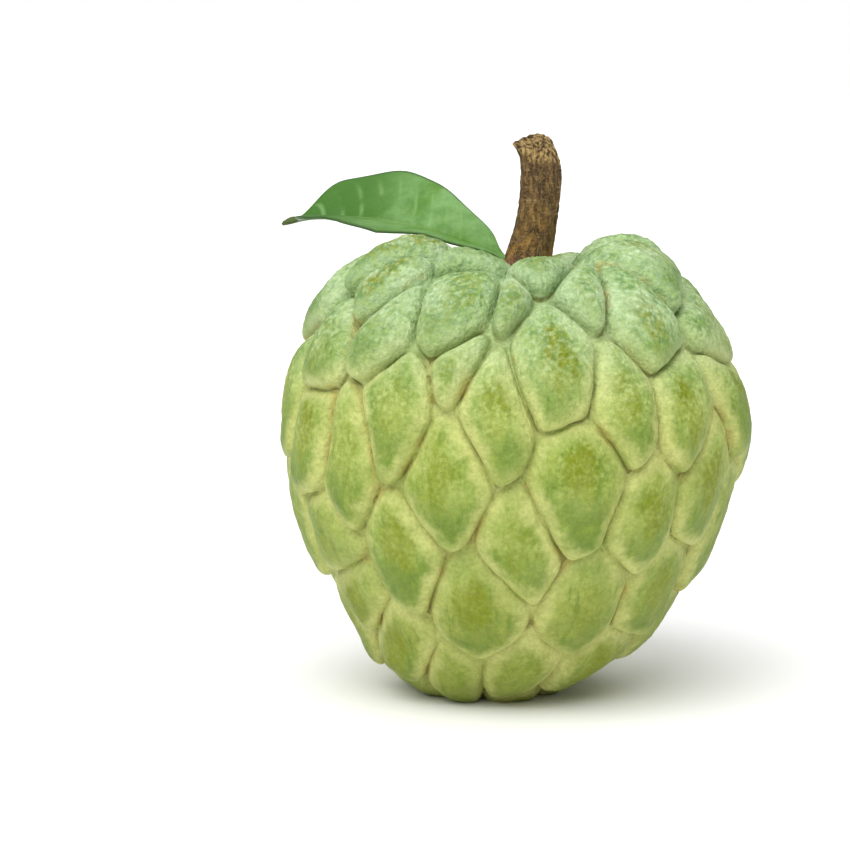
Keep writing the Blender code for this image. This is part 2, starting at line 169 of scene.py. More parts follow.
LEAF_COLUMNS = 64
LEAF_STEPS = 300
LEAF_SPREADING_SHARE = 0.1
LEAF_LEAST_HALF_WIDTH = 0.0005
LEAF_VEINS = 13
LEAF_VEIN_SWEEP = 0.11
LEAF_VEIN_CURVE = 1.3
LEAF_VEIN_STAGGER = 0.25
LEAF_VEIN_HEIGHT = 0.00005
LEAF_RIB_WIDTH = 0.05

SEED = 11

# The photograph's view: 467 of its pixels are the fruit's 90 mm, and its frame is 850 pixels square
PIXELS_PER_METRE = 467 / 0.090
PHOTO_SIDE = 850
ORIGIN_PIXEL = (493.9, 692.0)
CAMERA_ELEVATION = math.radians(7)
CAMERA_DISTANCE = 0.560
SENSOR = 36.0

# The studio: its lights with the way they shine, strength and width, the surround's light and the floor
SOFTBOXES = (
    ("overhead_softbox", (0.05, 0.10, -1.0), 1.8, math.radians(100)),
    ("front_softbox", (0.25, 0.59, -0.75), 2.15, math.radians(55)),
)
SURROUND_LIGHT = 0.35
FLOOR_RADIUS = 12.0
FLOOR_WHITE = (0.93, 0.93, 0.93, 1.0)


def smooth_curve(points, count):
    """Evenly spaced rows of the natural cubic spline through the given rows."""
    points = np.array(points)
    step = np.linalg.norm(np.diff(points[:, :3], axis=0), axis=1)
    knot = np.insert(np.cumsum(step), 0, 0.0)
    slope = np.diff(points, axis=0) / step[:, None]
    system = np.eye(len(points))
    pull = np.zeros(points.shape)
    for i in range(1, len(points) - 1):
        system[i, i - 1:i + 2] = step[i - 1], 2 * (step[i - 1] + step[i]), step[i]
        pull[i] = 6 * (slope[i] - slope[i - 1])
    bend = np.linalg.solve(system, pull)
    way = np.linspace(0, knot[-1], count)
    left = np.clip(np.searchsorted(knot, way) - 1, 0, len(step) - 1)
    width = step[left][:, None]
    near = (knot[left + 1] - way)[:, None] / width
    far = 1 - near
    bulge = (near ** 3 - near) * bend[left] + (far ** 3 - far) * bend[left + 1]
    return near * points[left] + far * points[left + 1] + bulge * width ** 2 / 6


def unit(rows):
    """The rows scaled to length 1."""
    return rows / np.linalg.norm(rows, axis=1)[:, None]


def skin_table():
    """The skin's profile in fine steps, with the angle on the ball that each step answers to.

    The ball keeps shapes true, but for SLENDER: a round spot on it is that much taller than wide on the skin.
    """
    curve = smooth_curve(PROFILE, PROFILE_STEPS)
    radius = np.maximum(curve[:, 0], THINNEST)
    run = np.insert(np.cumsum(np.hypot(*np.diff(curve[:, :2], axis=0).T)), 0, 0.0)
    stretch = np.insert(np.cumsum(np.diff(run) * 2 / (radius[1:] + radius[:-1])), 0, 0.0)
    stretch -= stretch[np.argmax(radius)]
    table = {"run": run, "radius": curve[:, 0], "height": curve[:, 1], "shift": curve[:, 2]}
    table["out"] = -np.gradient(curve[:, 1], run)
    table["up"] = np.gradient(curve[:, 0], run)
    table["angle"] = 2 * np.arctan(np.exp(stretch / SLENDER))
    return table


SKIN = skin_table()


def read_skin(column, angle):
    """A column of the skin's table at angles on the ball."""
    return np.interp(angle, SKIN["angle"], SKIN[column])


def ball_angle(ball):
    """How far round from the top the directions on the ball lie."""
    return np.arccos(np.clip(ball[:, 2], -1, 1))


def directions(turn, angle):
    """Unit directions on the ball from turns and angles in radians."""
    flat = np.sin(angle)
    return np.stack([flat * np.sin(turn), -flat * np.cos(turn), np.cos(angle)], axis=1)


def ball_scale(angle):
    """How long a step of one radian round the ball is on the skin."""
    return np.maximum(read_skin("radius", angle), THINNEST) / np.maximum(np.sin(angle), NEAR_NOUGHT)


def on_skin(ball, lift, slide):
    """The points that stand off the skin by a lift and slide down along it, in directions of the ball."""
    turn = np.arctan2(ball[:, 0], -ball[:, 1])
    angle = ball_angle(ball)
    angle = np.clip(angle + slide / (ball_scale(angle) * SLENDER), 0, math.pi)
    radius = read_skin("radius", angle)
    crown = np.exp(-((radius - SADDLE_RADIUS) / SADDLE_SPREAD) ** 2) * (angle < math.pi / 2)
    back = np.maximum(-np.cos(turn), 0.0) ** 2
    height = read_skin("height", angle) - crown * (SADDLE * np.cos(2 * turn) + BACK_DROP * back)
    radius = radius + lift * read_skin("out", angle)
    height = np.maximum(height + lift * read_skin("up", angle), 0.0)
    across = radius * np.sin(turn) + read_skin("shift", angle)
    return np.stack([across, -DEPTH_TO_WIDTH * radius * np.cos(turn), height], axis=1)


def golden_spiral(count):
    """Directions spread evenly over the ball, in the order of a seed head."""
    step = np.arange(count) + 0.5
    return directions(math.pi * (1 + 5 ** 0.5) * step, np.arccos(1 - 2 * step / count))


def scale_centres():
    """Where the scales sit on the ball: those seen in front stay, the rest are spread evenly round them.

    A centre's length says how large its scale grows: a border lies where two centres reach equally far.
    """
    placed = np.array(SEEN_SCALES + STEM_RING_SCALES)
    angle = np.interp(placed[:, 1], SKIN["run"], SKIN["angle"])
    fixed = directions(np.radians(placed[:, 0]), angle) * placed[:, 2:]
    spacing = math.sqrt(4 * math.pi / SCALE_COUNT)
    free = golden_spiral(SCALE_COUNT)
    clear = (free @ fixed.T).max(axis=1) < math.cos(spacing * CLEAR_OF_SEEN)
    outside_ring = ball_angle(free) > np.interp(STEM_RING_RUN, SKIN["run"], SKIN["angle"])
    free = free[clear & outside_ring]
    samples = golden_spiral(SCALE_COUNT * SAMPLES_PER_SCALE)
    for _ in range(EVENING_ROUNDS):
        owner = (samples @ np.vstack([fixed, free]).T).argmax(axis=1) - len(fixed)
        free = unit(np.array([samples[owner == i].mean(axis=0) for i in range(len(free))]))
    return np.vstack([fixed, free])


def cell_ball(centres):
    """A ball with one many-sided face round each centre, whose corners are the hull's outward normals."""
    hull = bmesh.new()
    for centre in centres:
        hull.verts.new(centre)
    bmesh.ops.convex_hull(hull, input=hull.verts[:])
    ball = bmesh.new()
    corners = {}
    for face in sorted(hull.faces, key=lambda face: face.calc_center_median()[:]):
        outward = math.copysign(1.0, face.normal.dot(face.calc_center_median()))
        corners[face] = ball.verts.new(face.normal * outward)
    for vert in hull.verts:
        axis = vert.co.normalized()
        side = axis.orthogonal()
        ahead = axis.cross(side)
        ring = {face: corners[face].co for face in vert.link_faces}
        turns = {face: math.atan2(place.dot(ahead), place.dot(side)) for face, place in ring.items()}
        ball.faces.new([corners[face] for face in sorted(turns, key=turns.get)])
    hull.free()
    bmesh.ops.remove_doubles(ball, verts=ball.verts[:], dist=SHORTEST_SIDE)
    mesh = bpy.data.meshes.new("fruit")
    ball.to_mesh(mesh)
    ball.free()
    return mesh


def clear_selection():
    """Deselect everything, so that an operator acts on the new piece alone."""
    for item in bpy.context.selected_objects:
        item.select_set(False)


def edit_all(item):
    """Open a piece in edit mode with all of it selected."""
    clear_selection()
    item.select_set(True)
    bpy.context.view_layer.objects.active = item
    bpy.ops.object.mode_set(mode="EDIT")
    bpy.ops.mesh.select_all(action="SELECT")


def edit_some(item, kind, chosen):
    """Open the active piece in edit mode with only the chosen ones of its faces or edges selected."""
    bpy.ops.object.mode_set(mode="EDIT")
    bpy.ops.mesh.select_mode(type=kind)
    bpy.ops.mesh.select_all(action="DESELECT")
    end_edit()
    (item.data.polygons if kind == "FACE" else item.data.edges).foreach_set("select", chosen)
    bpy.ops.object.mode_set(mode="EDIT")


def end_edit():
    """Leave edit mode."""
    bpy.ops.object.mode_set(mode="OBJECT")


def read_points(mesh):
    """A mesh's points as rows."""
    flat = np.empty(len(mesh.vertices) * 3, dtype=np.float32)
    mesh.vertices.foreach_get("co", flat)
    return flat.reshape(-1, 3).astype(float)


def write_points(mesh, points):
    """Move a mesh's points."""
    mesh.vertices.foreach_set("co", points.astype(np.float32).ravel())
    mesh.update()


def write_attribute(mesh, name, kind, values):
    """Give each point of a mesh a number or a vector."""
    attribute = mesh.attributes.new(name, kind, "POINT")
    field = "value" if kind == "FLOAT" else "vector"
    attribute.data.foreach_set(field, np.asarray(values, dtype=np.float32).ravel())


def noise_at(points, size, start=0.0):
    """Smooth noise from -1 to 1 at points, with features of a given size, read from a start of its own."""
    shift = Vector((start, start * 0.7, -start))
    return np.array([noise.noise(Vector(point) / size + shift) for point in points])


def cut_scales(fruit):
    """Cut each scale into fine triangles in rings, and return how near its rim each point lies."""
    corners = len(fruit.data.vertices)
    edit_all(fruit)
    bpy.ops.mesh.poke()
    end_edit()
    rim = fruit.data.attributes.new("rim", "FLOAT", "POINT")
    rim.data.foreach_set("value", [float(i < corners) for i in range(len(fruit.data.vertices))])
    edit_all(fruit)
    bpy.ops.mesh.subdivide(number_cuts=BORDER_CUTS)
    end_edit()
    rim = np.empty(len(fruit.data.vertices), dtype=np.float32)
    fruit.data.attributes["rim"].data.foreach_get("value", rim)
    fruit.data.attributes.remove(fruit.data.attributes["rim"])
    return rim


def crowd_rings(points, rim, owner, count):
    """Move the rings of points within each scale closer to its rim, and put all points on the unit ball."""
    middle = np.zeros((count, 3))
    at_middle = rim < NEAR_NOUGHT
    middle[owner[at_middle]] = points[at_middle]
    reach = 1 - (1 - np.clip(rim, 0, 1)) ** BORDER_CROWDING
    grown = np.where(at_middle, 1.0, reach / np.maximum(rim, NEAR_NOUGHT))
    return unit(middle[owner] + (points - middle[owner]) * grown[:, None])


def border_crowd(ball, centres, owner):
    """How closely the borders crowd in on each point: 1 on a border, 2 where three scales meet."""
    angle = ball_angle(ball)
    east = np.stack([-ball[:, 1], ball[:, 0]], axis=1) / np.maximum(np.sin(angle), NEAR_NOUGHT)[:, None]
    size = ball_scale(angle)
    crowd = np.zeros(len(ball))
    for j, centre in enumerate(centres):
        between = centres[owner] - centre
        length = np.linalg.norm(between, axis=1)
        between /= np.maximum(length, NEAR_NOUGHT)[:, None]
        sideways = (between[:, :2] * east).sum(axis=1)
        slope = np.sqrt(sideways ** 2 + np.maximum(1 - sideways ** 2, 0) / SLENDER ** 2) / size
        inside = (between * ball).sum(axis=1) / slope
        crowd += np.where(owner == j, 0.0, np.exp(-np.maximum(inside, 0) / CORNER_SOFTNESS))
    return crowd


def read_scales(ball, centres, owner, rim):
    """Where each point lies in its scale, and what its scale was dealt."""
    crowd = border_crowd(ball, centres, owner)
    angle = ball_angle(ball)
    turn = np.arctan2(ball[:, 0], -ball[:, 1])
    middle_turn = np.arctan2(centres[:, 0], -centres[:, 1])[owner]
    middle_run = read_skin("run", ball_angle(unit(centres)))[owner]
    place = {"inside": np.where(rim > RIM_SHARE, 0.0, np.maximum(-CORNER_SOFTNESS * np.log(crowd), 0.0))}
    place["widest"] = np.zeros(len(centres))
    np.maximum.at(place["widest"], owner, place["inside"])
    place["widest"] = place["widest"][owner]
    place["corner"] = np.clip(crowd - 1, 0, 1)
    place["run"] = read_skin("run", angle)
    place["below"] = place["run"] - middle_run
    place["beside"] = np.sin(turn - middle_turn) * read_skin("radius", angle)
    full = np.random.default_rng(SEED).uniform(1 - RELIEF_SPREAD, 1 + RELIEF_SPREAD, len(centres))
    place["full"] = full[owner]
    place["own"] = np.random.default_rng(SEED + 1).uniform(0, 1, (len(centres), 3))[owner]
    return place


def knobby_share(run):
    """How much a scale belongs to the crown: 1 near the stem, and 0 from the shoulders down."""
    return np.clip((KNOBBY_RUNS[0] - run) / (KNOBBY_RUNS[0] - KNOBBY_RUNS[1]), 0, 1)


def scale_relief(place):
    """How far the scales stand off the skin, and how far their lower rims lean over the scales below."""
    downwards = np.clip(place["below"] / TIP_REACH, -1, 1)
    low = 0.5 + 0.5 * downwards
    width = UPPER_RIM_WIDTH + (LOWER_RIM_WIDTH - UPPER_RIM_WIDTH) * low
    rise = 1 - np.exp(-place["inside"] / width)
    dome = 1 - (1 - place["inside"] / place["widest"]) ** 2
    height = np.interp(place["run"], *np.array(RELIEF).T) * place["full"]
    crown = knobby_share(place["run"])
    rim = RIM_HEIGHT * (1 + CROWN_RIM_GAIN * crown)
    crease = np.interp(place["run"], *np.array(CREASE_DEPTHS).T)
    crease *= np.exp(-(place["inside"] / CREASE_WIDTH) ** 2)
    lift = rim * rise + height * dome + TIP_LIFT * downwards * rise - crease
    lift -= SUNK + CROWN_SUNK * crown
    near_rim = np.exp(-place["inside"] / OVERHANG_WIDTH)
    return lift, OVERHANG * np.maximum(lift, 0) * low * near_rim


def fine_relief(points, place):
    """Shallow dimples all over, knobs on the scales near the stem, and faint ridges down each scale."""
    full = 1 - np.exp(-place["inside"] / FINE_RELIEF_START)
    dimples = noise_at(points, DIMPLE_SIZE) + 0.5 * noise_at(points, DIMPLE_SIZE * 0.45, 5.0)
    knobby = np.maximum(knobby_share(place["run"]), LEAST_KNOBBY)
    knobs = np.abs(noise_at(points, KNOB_SIZE, 9.0)) + 0.6 * np.abs(noise_at(points, KNOB_SIZE * 0.55, 3.0))
    width, length = STREAK_SIZE
    strip = np.stack([place["beside"] / width, place["below"] / length, place["own"][:, 0] * 40], axis=1)
    return full * (DIMPLE * dimples + KNOB * knobby * (0.5 - knobs) + STREAK_RIDGE * noise_at(strip, 1.0))


def waver(ball):
    """Bend the borders gently, and give the whole skin a few broad lumps."""
    noise.seed_set(SEED)
    bent = np.array([noise.noise_vector(Vector(point) * WAVER_WAVES) for point in ball])
    fine = np.array([noise.noise_vector(Vector(point) * FINE_WAVER_WAVES) for point in ball])
    lumps = np.array([noise.noise(Vector(point) * LUMP_WAVES) for point in ball])
    return unit(ball + bent * WAVER + fine * FINE_WAVER), lumps * LUMP


def finish_piece(item, node, material):
    """Turn a piece's faces outwards and smooth it, give it its finish, and let it stand for its CAD node."""
    edit_all(item)
    bpy.ops.mesh.normals_make_consistent(inside=False)
    end_edit()
    bpy.ops.object.shade_smooth()
    item.data.materials.clear()
    item.data.materials.append(material)
    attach(item, "root")
    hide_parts(node)


def make_fruit():
    """The fruit: a ball of scales drawn onto the heart-shaped skin, each scale raised by its relief."""
    centres = scale_centres()
    fruit = bpy.data.objects.new("fruit_rind", cell_ball(centres))
    bpy.context.scene.collection.objects.link(fruit)
    rim = cut_scales(fruit)
    points = read_points(fruit.data)
    owner = (points @ centres.T).argmax(axis=1)
    points = crowd_rings(points, rim, owner, len(centres))
    place = read_scales(points, centres, owner, rim)
    lift, slide = scale_relief(place)
    bent, lumps = waver(points)
    smooth = on_skin(bent, lift + lumps, slide)
    write_points(fruit.data, on_skin(bent, lift + lumps + fine_relief(smooth, place), slide))
    write_attribute(fruit.data, "inside", "FLOAT", place["inside"])
    write_attribute(fruit.data, "corner", "FLOAT", place["corner"])
    write_attribute(fruit.data, "own", "FLOAT_VECTOR", place["own"])
    along = np.stack([place["beside"], place["below"], place["own"][:, 0]], axis=1)
    write_attribute(fruit.data, "along", "FLOAT_VECTOR", along)
    finish_piece(fruit, "fruit", rind_material())


def stem_surface(points):
    """The bark and the broken end, for points of a unit cylinder."""
    turn = np.arctan2(points[:, 1], points[:, 0])
    reach = np.hypot(points[:, 0], points[:, 1])
    rise = points[:, 2] + 0.5
    line = smooth_curve(STEM_LINE, STEM_STEPS)
    along = np.linspace(0, 1, len(line))
    middle = np.stack([np.interp(rise, along, line[:, i]) for i in range(3)], axis=1)
    ridges = 0.0
    for count, twist, start, share in STEM_RIDGE_WAVES:
        ridges = ridges + share * np.sin(count * turn + twist * rise + start)
    end = np.clip((rise - STEM_END_START) / (1 - STEM_END_START), 0, 1)
    hook = STEM_HOOK * np.clip(np.cos(turn - STEM_HOOK_TURN), 0, 1) ** STEM_HOOK_SHARPNESS * end ** 3
    radius = np.interp(rise, along, line[:, 3]) * (1 + STEM_RIDGES * ridges) + hook
    wall = np.stack([np.cos(turn), np.sin(turn), rise * BARK_LENGTH], axis=1)
    for closeness, size, start, depth in BARK_RELIEF:
        radius = radius + depth * noise_at(wall * (1.0, 1.0, closeness), size, start)
    front = np.maximum(-np.sin(turn), 0) * reach
    right = np.maximum(np.cos(turn), 0) * reach
    fall = STEM_END_FRONT_FALL * front ** 2 + STEM_END_RIGHT_FALL * right ** 3
    middle[:, 2] += end * (STEM_END_TILT * np.sin(turn) * reach - fall)
    grain = np.stack([points[:, 0], points[:, 1], rise * 0], axis=1)
    torn = noise_at(grain, TORN_SIZE, 2.0) + 0.7 * noise_at(grain, TORN_SIZE / 2, 6.0)
    middle[:, 2] += TORN_HEIGHT * torn * np.clip((rise - TORN_START) / (1 - TORN_START), 0, 1)
    middle[:, 0] += radius * reach * np.cos(turn)
    middle[:, 1] += radius * reach * np.sin(turn)
    return middle


def make_stem():
    """The woody stalk with furrowed bark, torn off at its upper end."""
    clear_selection()
    bpy.ops.mesh.primitive_cylinder_add(vertices=STEM_SIDES, radius=1.0, depth=1.0)
    stem = bpy.context.active_object
    stem.name = "stem_bark_wood"
    edit_some(stem, "FACE", [abs(face.normal.z) > STEEP for face in stem.data.polygons])
    for _ in range(STEM_END_RINGS):
        bpy.ops.mesh.inset(thickness=STEM_END_INSET / STEM_END_RINGS, use_individual=True)
    bpy.ops.mesh.poke()
    end_edit()
    heights = [[stem.data.vertices[i].co.z for i in edge.vertices] for edge in stem.data.edges]
    edit_some(stem, "EDGE", [abs(high - low) > STEEP for low, high in heights])
    bpy.ops.mesh.subdivide(number_cuts=STEM_RINGS)
    end_edit()
    points = read_points(stem.data)
    write_points(stem.data, stem_surface(points))
    write_attribute(stem.data, "rise", "FLOAT", points[:, 2] + 0.5)
    write_attribute(stem.data, "reach", "FLOAT", np.hypot(points[:, 0], points[:, 1]))
    finish_piece(stem, "stem", bark_material())


def past_stalk(along):
    """0 on the leaf's stalk, and from there up to 1 where the blade has spread."""
    return np.clip((along - LEAF_STALK_SHARE) / LEAF_SPREADING_SHARE, 0, 1)


def leaf_places(along, across):
    """The leaf's middle surface: a midrib with two halves that stand off it, waved at their margins."""
    line = smooth_curve(LEAF_RIB, LEAF_STEPS)
    step = np.linspace(0, 1, len(line))
    rib = np.stack([np.interp(along, step, line[:, i]) for i in range(4)], axis=1)
    slope = np.gradient(line[:, :3], axis=0).T
    ahead = unit(np.stack([np.interp(along, step, column) for column in slope], axis=1))
    side = unit(np.cross(ahead, (0.0, 0.0, 1.0)))
    up = np.cross(side, ahead)
    front_half = np.interp(along, *np.array(LEAF_FRONT_HALF).T)
    stand = np.where(across > 0, LEAF_BACK_HALF, front_half)
    stand = stand * np.clip(along / LEAF_STALK_SHARE, 0, 1) - LEAF_CURL * np.abs(across)
    reach = np.maximum(rib[:, 3], LEAF_LEAST_HALF_WIDTH) * np.abs(across)
    wave = LEAF_WAVE * np.sin(2 * math.pi * LEAF_WAVES * along + across) * across ** 2
    wave *= past_stalk(along)
    veins = LEAF_VEIN_HEIGHT * vein_height(along, across)
    sideways = reach * np.cos(stand) * np.sign(across)
    return rib[:, :3] + side * sideways[:, None] + up * (reach * np.sin(stand) + wave + veins)[:, None]


def vein_height(along, across):
    """The side veins' relief: swollen strips of blade between sunk veins that sweep towards the tip."""
    phase = LEAF_VEINS * (along - LEAF_VEIN_SWEEP * np.abs(across) ** LEAF_VEIN_CURVE)
    phase += LEAF_VEIN_STAGGER * np.sign(across)
    swell = np.abs(np.sin(math.pi * phase)) ** 0.7
    rib = np.exp(-(across / LEAF_RIB_WIDTH) ** 2)
    return swell * np.clip(1 - np.abs(across), 0, 1) * (1 - rib) * 2 - 1.5 * rib


def make_leaf():
    """The leaf: a thin waved blade with sunk veins, a short round stalk and a drip tip."""
    clear_selection()
    bpy.ops.mesh.primitive_grid_add(x_subdivisions=LEAF_ROWS, y_subdivisions=LEAF_COLUMNS, size=1.0)
    leaf = bpy.context.active_object
    leaf.name = "leaf_blade"
    flat = read_points(leaf.data)
    along = flat[:, 0] + 0.5
    across = flat[:, 1] * 2
    write_points(leaf.data, leaf_places(along, across))
    blade = np.stack([along, across, np.zeros(len(along))], axis=1)
    write_attribute(leaf.data, "blade", "FLOAT_VECTOR", blade)
    stalk = (1 - past_stalk(along)) * np.sqrt(1 - across ** 2)
    thickness = LEAF_THICKNESS + (LEAF_STALK_THICKNESS - LEAF_THICKNESS) * stalk
    group = leaf.vertex_groups.new(name="thickness")
    for i, weight in enumerate(thickness / LEAF_STALK_THICKNESS):
        group.add([i], float(weight), "REPLACE")
    solid = leaf.modifiers.new("blade", "SOLIDIFY")
    solid.thickness = LEAF_STALK_THICKNESS
    solid.offset = 0.0
    solid.vertex_group = group.name
    bpy.ops.object.modifier_apply(modifier=solid.name)
    finish_piece(leaf, "leaf", leaf_material())


def paint(red, green, blue):
    """A colour given in bytes as seen on a screen, as the shares of light that it reflects."""
    seen = np.array([red, green, blue]) / 255
    return (*np.where(seen > 0.04045, ((seen + 0.055) / 1.055) ** 2.4, seen / 12.92), 1.0)


def join(tree, value, socket):
    """Link a socket to another, or set its own value."""
    if isinstance(value, bpy.types.NodeSocket):
        tree.links.new(value, socket)
    else:
        socket.default_value = value


def add_node(tree, kind, settings=None, **inputs):
    """Add a node with its settings, and link or set its inputs, named with _ for spaces."""
    made = tree.nodes.new(kind)
    for name, value in (settings or {}).items():
        setattr(made, name, value)
    for name, value in inputs.items():
        join(tree, value, made.inputs[name.replace("_", " ")])
    return made


def calc(tree, operation, *values):
    """The result of one step of arithmetic on sockets and numbers."""
    made = add_node(tree, "ShaderNodeMath", {"operation": operation})
    for value, socket in zip(values, made.inputs):
        join(tree, value, socket)
    return made.outputs[0]


def fade(tree, value, start, end, low=0.0, high=1.0):
    """A smooth change from low to high as a value goes from start to end."""
    made = add_node(tree, "ShaderNodeMapRange", {"interpolation_type": "SMOOTHSTEP"}, Value=value,
                    From_Min=start, From_Max=end, To_Min=low, To_Max=high)
    return made.outputs["Result"]


def mixed(tree, share, under, over, kind="MIX"):
    """One colour laid over another by a share."""
    made = add_node(tree, "ShaderNodeMix", {"data_type": "RGBA", "blend_type": kind})
    join(tree, share, made.inputs[0])
    join(tree, under, made.inputs[6])
    join(tree, over, made.inputs[7])
    return made.outputs[2]


def noise_mask(tree, vector, size, start, end, detail=3.0, roughness=0.55):
    """Soft patches of a given size in a vector's own units."""
    texture = add_node(tree, "ShaderNodeTexNoise", None, Vector=vector, Scale=1 / size, Detail=detail,
                       Roughness=roughness)
    return fade(tree, texture.outputs["Fac"], start, end)


def stretched(tree, vector, by, shift=(0.0, 0.0, 0.0)):
    """A vector with its parts scaled and shifted."""
    made = add_node(tree, "ShaderNodeMapping", None, Vector=vector, Scale=by, Location=shift)
    return made.outputs["Vector"]


def attribute(tree, name, output):
    """A number or vector that the piece's points hold."""
    return add_node(tree, "ShaderNodeAttribute", {"attribute_name": name}).outputs[output]


def object_place(tree):
    """The place on the piece, in metres."""
    return add_node(tree, "ShaderNodeTexCoord").outputs["Object"]


def speckle_group():
    """Fine grains all over a surface: a mask of pale and dark grains, and their height."""
    group = bpy.data.node_groups.new("natural_speckle", "ShaderNodeTree")
    for name, kind in (("Place", "NodeSocketVector"), ("Scale", "NodeSocketFloat")):
        group.interface.new_socket(name, in_out="INPUT", socket_type=kind)
    for name in ("Grains", "Height"):
        group.interface.new_socket(name, in_out="OUTPUT", socket_type="NodeSocketFloat")
    inlet = group.nodes.new("NodeGroupInput").outputs
    outlet = group.nodes.new("NodeGroupOutput").inputs
    grains = add_node(group, "ShaderNodeTexNoise", None, Vector=inlet["Place"], Scale=inlet["Scale"],
                      Detail=3.0, Roughness=0.65)
    pits = add_node(group, "ShaderNodeTexVoronoi", {"feature": "SMOOTH_F1"}, Vector=inlet["Place"],
                    Scale=inlet["Scale"], Smoothness=0.4)
    pitted = calc(group, "MULTIPLY", pits.outputs["Distance"], -0.6)
    height = calc(group, "ADD", grains.outputs["Fac"], pitted)
    group.links.new(fade(group, grains.outputs["Fac"], 0.30, 0.70), outlet["Grains"])
    group.links.new(height, outlet["Height"])
    return group


SPECKLE = speckle_group()


def speckle(tree, place, size):
    """The grains' mask and height, for grains of a given size."""
    made = add_node(tree, "ShaderNodeGroup", {"node_tree": SPECKLE}, Place=place, Scale=1 / size)
    return made.outputs["Grains"], made.outputs["Height"]


def new_material(name):
    """A material with its node tree and its shader."""
    material = bpy.data.materials.new(name)
    material.use_nodes = True
    return material, material.node_tree, material.node_tree.nodes["Principled BSDF"]


def bumped(tree, height, distance, strength, under=None):
    """A normal bent by a height, over another normal if one is given."""
    made = add_node(tree, "ShaderNodeBump", None, Height=height, Distance=distance, Strength=strength)
    if under is not None:
        tree.links.new(under, made.inputs["Normal"])
    return made.outputs["Normal"]


BELLY_LIGHT = paint(154, 166, 78)
BELLY_GREEN = paint(124, 146, 52)
CROWN_GREEN = paint(138, 172, 106)
CROWN_DARK = paint(84, 126, 66)
FOOT_GREEN = paint(144, 150, 62)
# The colour of the painted shade on the lower half of each scale
PAINTED_SHADE_GREEN = paint(92, 120, 38)
STREAK_GREEN = paint(88, 120, 26)
BLOTCH_OLIVE = paint(118, 130, 10)
BLOOM_PALE = paint(186, 208, 162)
BLOOM_WARM = paint(180, 194, 112)
MARGIN_CREAM = paint(200, 202, 126)
MARGIN_BLUISH = paint(182, 204, 162)
STAIN_TAN = paint(172, 158, 84)
# The colour of the groove lines, with the painted shadow under the scales' lower edges
GROOVE_AND_SHADOW_OLIVE = paint(104, 104, 42)
CORNER_BROWN = paint(96, 78, 30)

# The rind's patterns, in metres: the size of their patches, and the heights, or the distances from a scale's
# middle or border, at which they start and are full; for a ragged edge, its grain and its depth
PATCH_SIZE = 0.009
SHADE_SIZE = 0.004
STREAK_WIDTH = 0.0013
WART_SIZE = 0.0013
FINE_BLOOM_SIZE = 0.0010
WIDE_BLOOM_SIZE = 0.008
THIN_MARGIN_SIZE = 0.012
STAIN_SIZE = 0.010
BROKEN_LINE_SIZE = 0.005
RIND_GRAIN = 0.00075
KNOB_MARK_SIZE = 0.0014
CROWN_HEIGHTS = (0.050, 0.082)
FOOT_HEIGHTS = (0.035, 0.008)
WART_HEIGHTS = (0.056, 0.080)
BLOOM_AND_TOP_LIGHT_HEIGHTS = (0.010, 0.080)
BLUISH_HEIGHTS = (0.055, 0.086)
ROUGH_HEIGHTS = (0.030, 0.080)
LOWER_HALF = (-0.003, 0.009)
BLOTCH_EDGE = (0.0062, 0.0036)
CORE_EDGE = (0.0007, 0.0036)
MARGIN_EDGE = (0.0026, -0.0004)
STAIN_EDGE = (0.0012, 0.0002)
LINE_EDGE = (0.00030, 0.00006)
RAGGED_BLOTCH = (0.0024, 0.0036)
RAGGED_MARGIN = (0.0026, 0.0020)


def product(tree, *values):
    """Sockets and numbers multiplied."""
    result = values[0]
    for value in values[1:]:
        result = calc(tree, "MULTIPLY", result, value)
    return result


def rind_base(tree, place, height, own):
    """The rind's green, from the bluish crown over the light belly to the yellowish foot."""
    patches = noise_mask(tree, place, PATCH_SIZE, 0.36, 0.64)
    colour = mixed(tree, patches, BELLY_LIGHT, BELLY_GREEN)
    colour = mixed(tree, fade(tree, height, *CROWN_HEIGHTS, 0.0, 0.85), colour, CROWN_GREEN)
    colour = mixed(tree, fade(tree, height, *FOOT_HEIGHTS, 0.0, 0.7), colour, FOOT_GREEN)
    return mixed(tree, fade(tree, own["Z"], 0.0, 1.0, 0.0, 0.35), colour, BELLY_GREEN)


def rind_inside(tree, colour, place, along, own, core, low):
    """What marks the middle of each scale: painted shade on its lower half, fine streaks and one olive
    blotch.
    """
    shade = noise_mask(tree, place, SHADE_SIZE, 0.25, 0.60)
    # Painted shade: the lower half of each scale's middle is darkened as if the light came from above
    colour = mixed(tree, product(tree, core, low, shade, 0.72), colour, PAINTED_SHADE_GREEN)
    streaky = stretched(tree, along, (1.0, 0.24, 1.0))
    streaks = noise_mask(tree, streaky, STREAK_WIDTH, 0.46, 0.70, detail=4.0, roughness=0.6)
    colour = mixed(tree, product(tree, streaks, core, 0.65), colour, STREAK_GREEN)
    spread = add_node(tree, "ShaderNodeVectorMath", {"operation": "LENGTH"})
    off_middle = stretched(tree, along, (1.0, 0.62, 0.0), (0.0, 0.0008, 0.0))
    tree.links.new(off_middle, spread.inputs[0])
    grain, depth = RAGGED_BLOTCH
    ragged = product(tree, noise_mask(tree, streaky, grain, 0.2, 0.8, detail=4.0, roughness=0.65), depth)
    blotch = fade(tree, calc(tree, "ADD", spread.outputs["Value"], ragged), *BLOTCH_EDGE)
    strength = fade(tree, own["X"], 0.0, 0.7, 0.35, 1.0)
    return mixed(tree, product(tree, blotch, core, strength, 0.90), colour, BLOTCH_OLIVE)


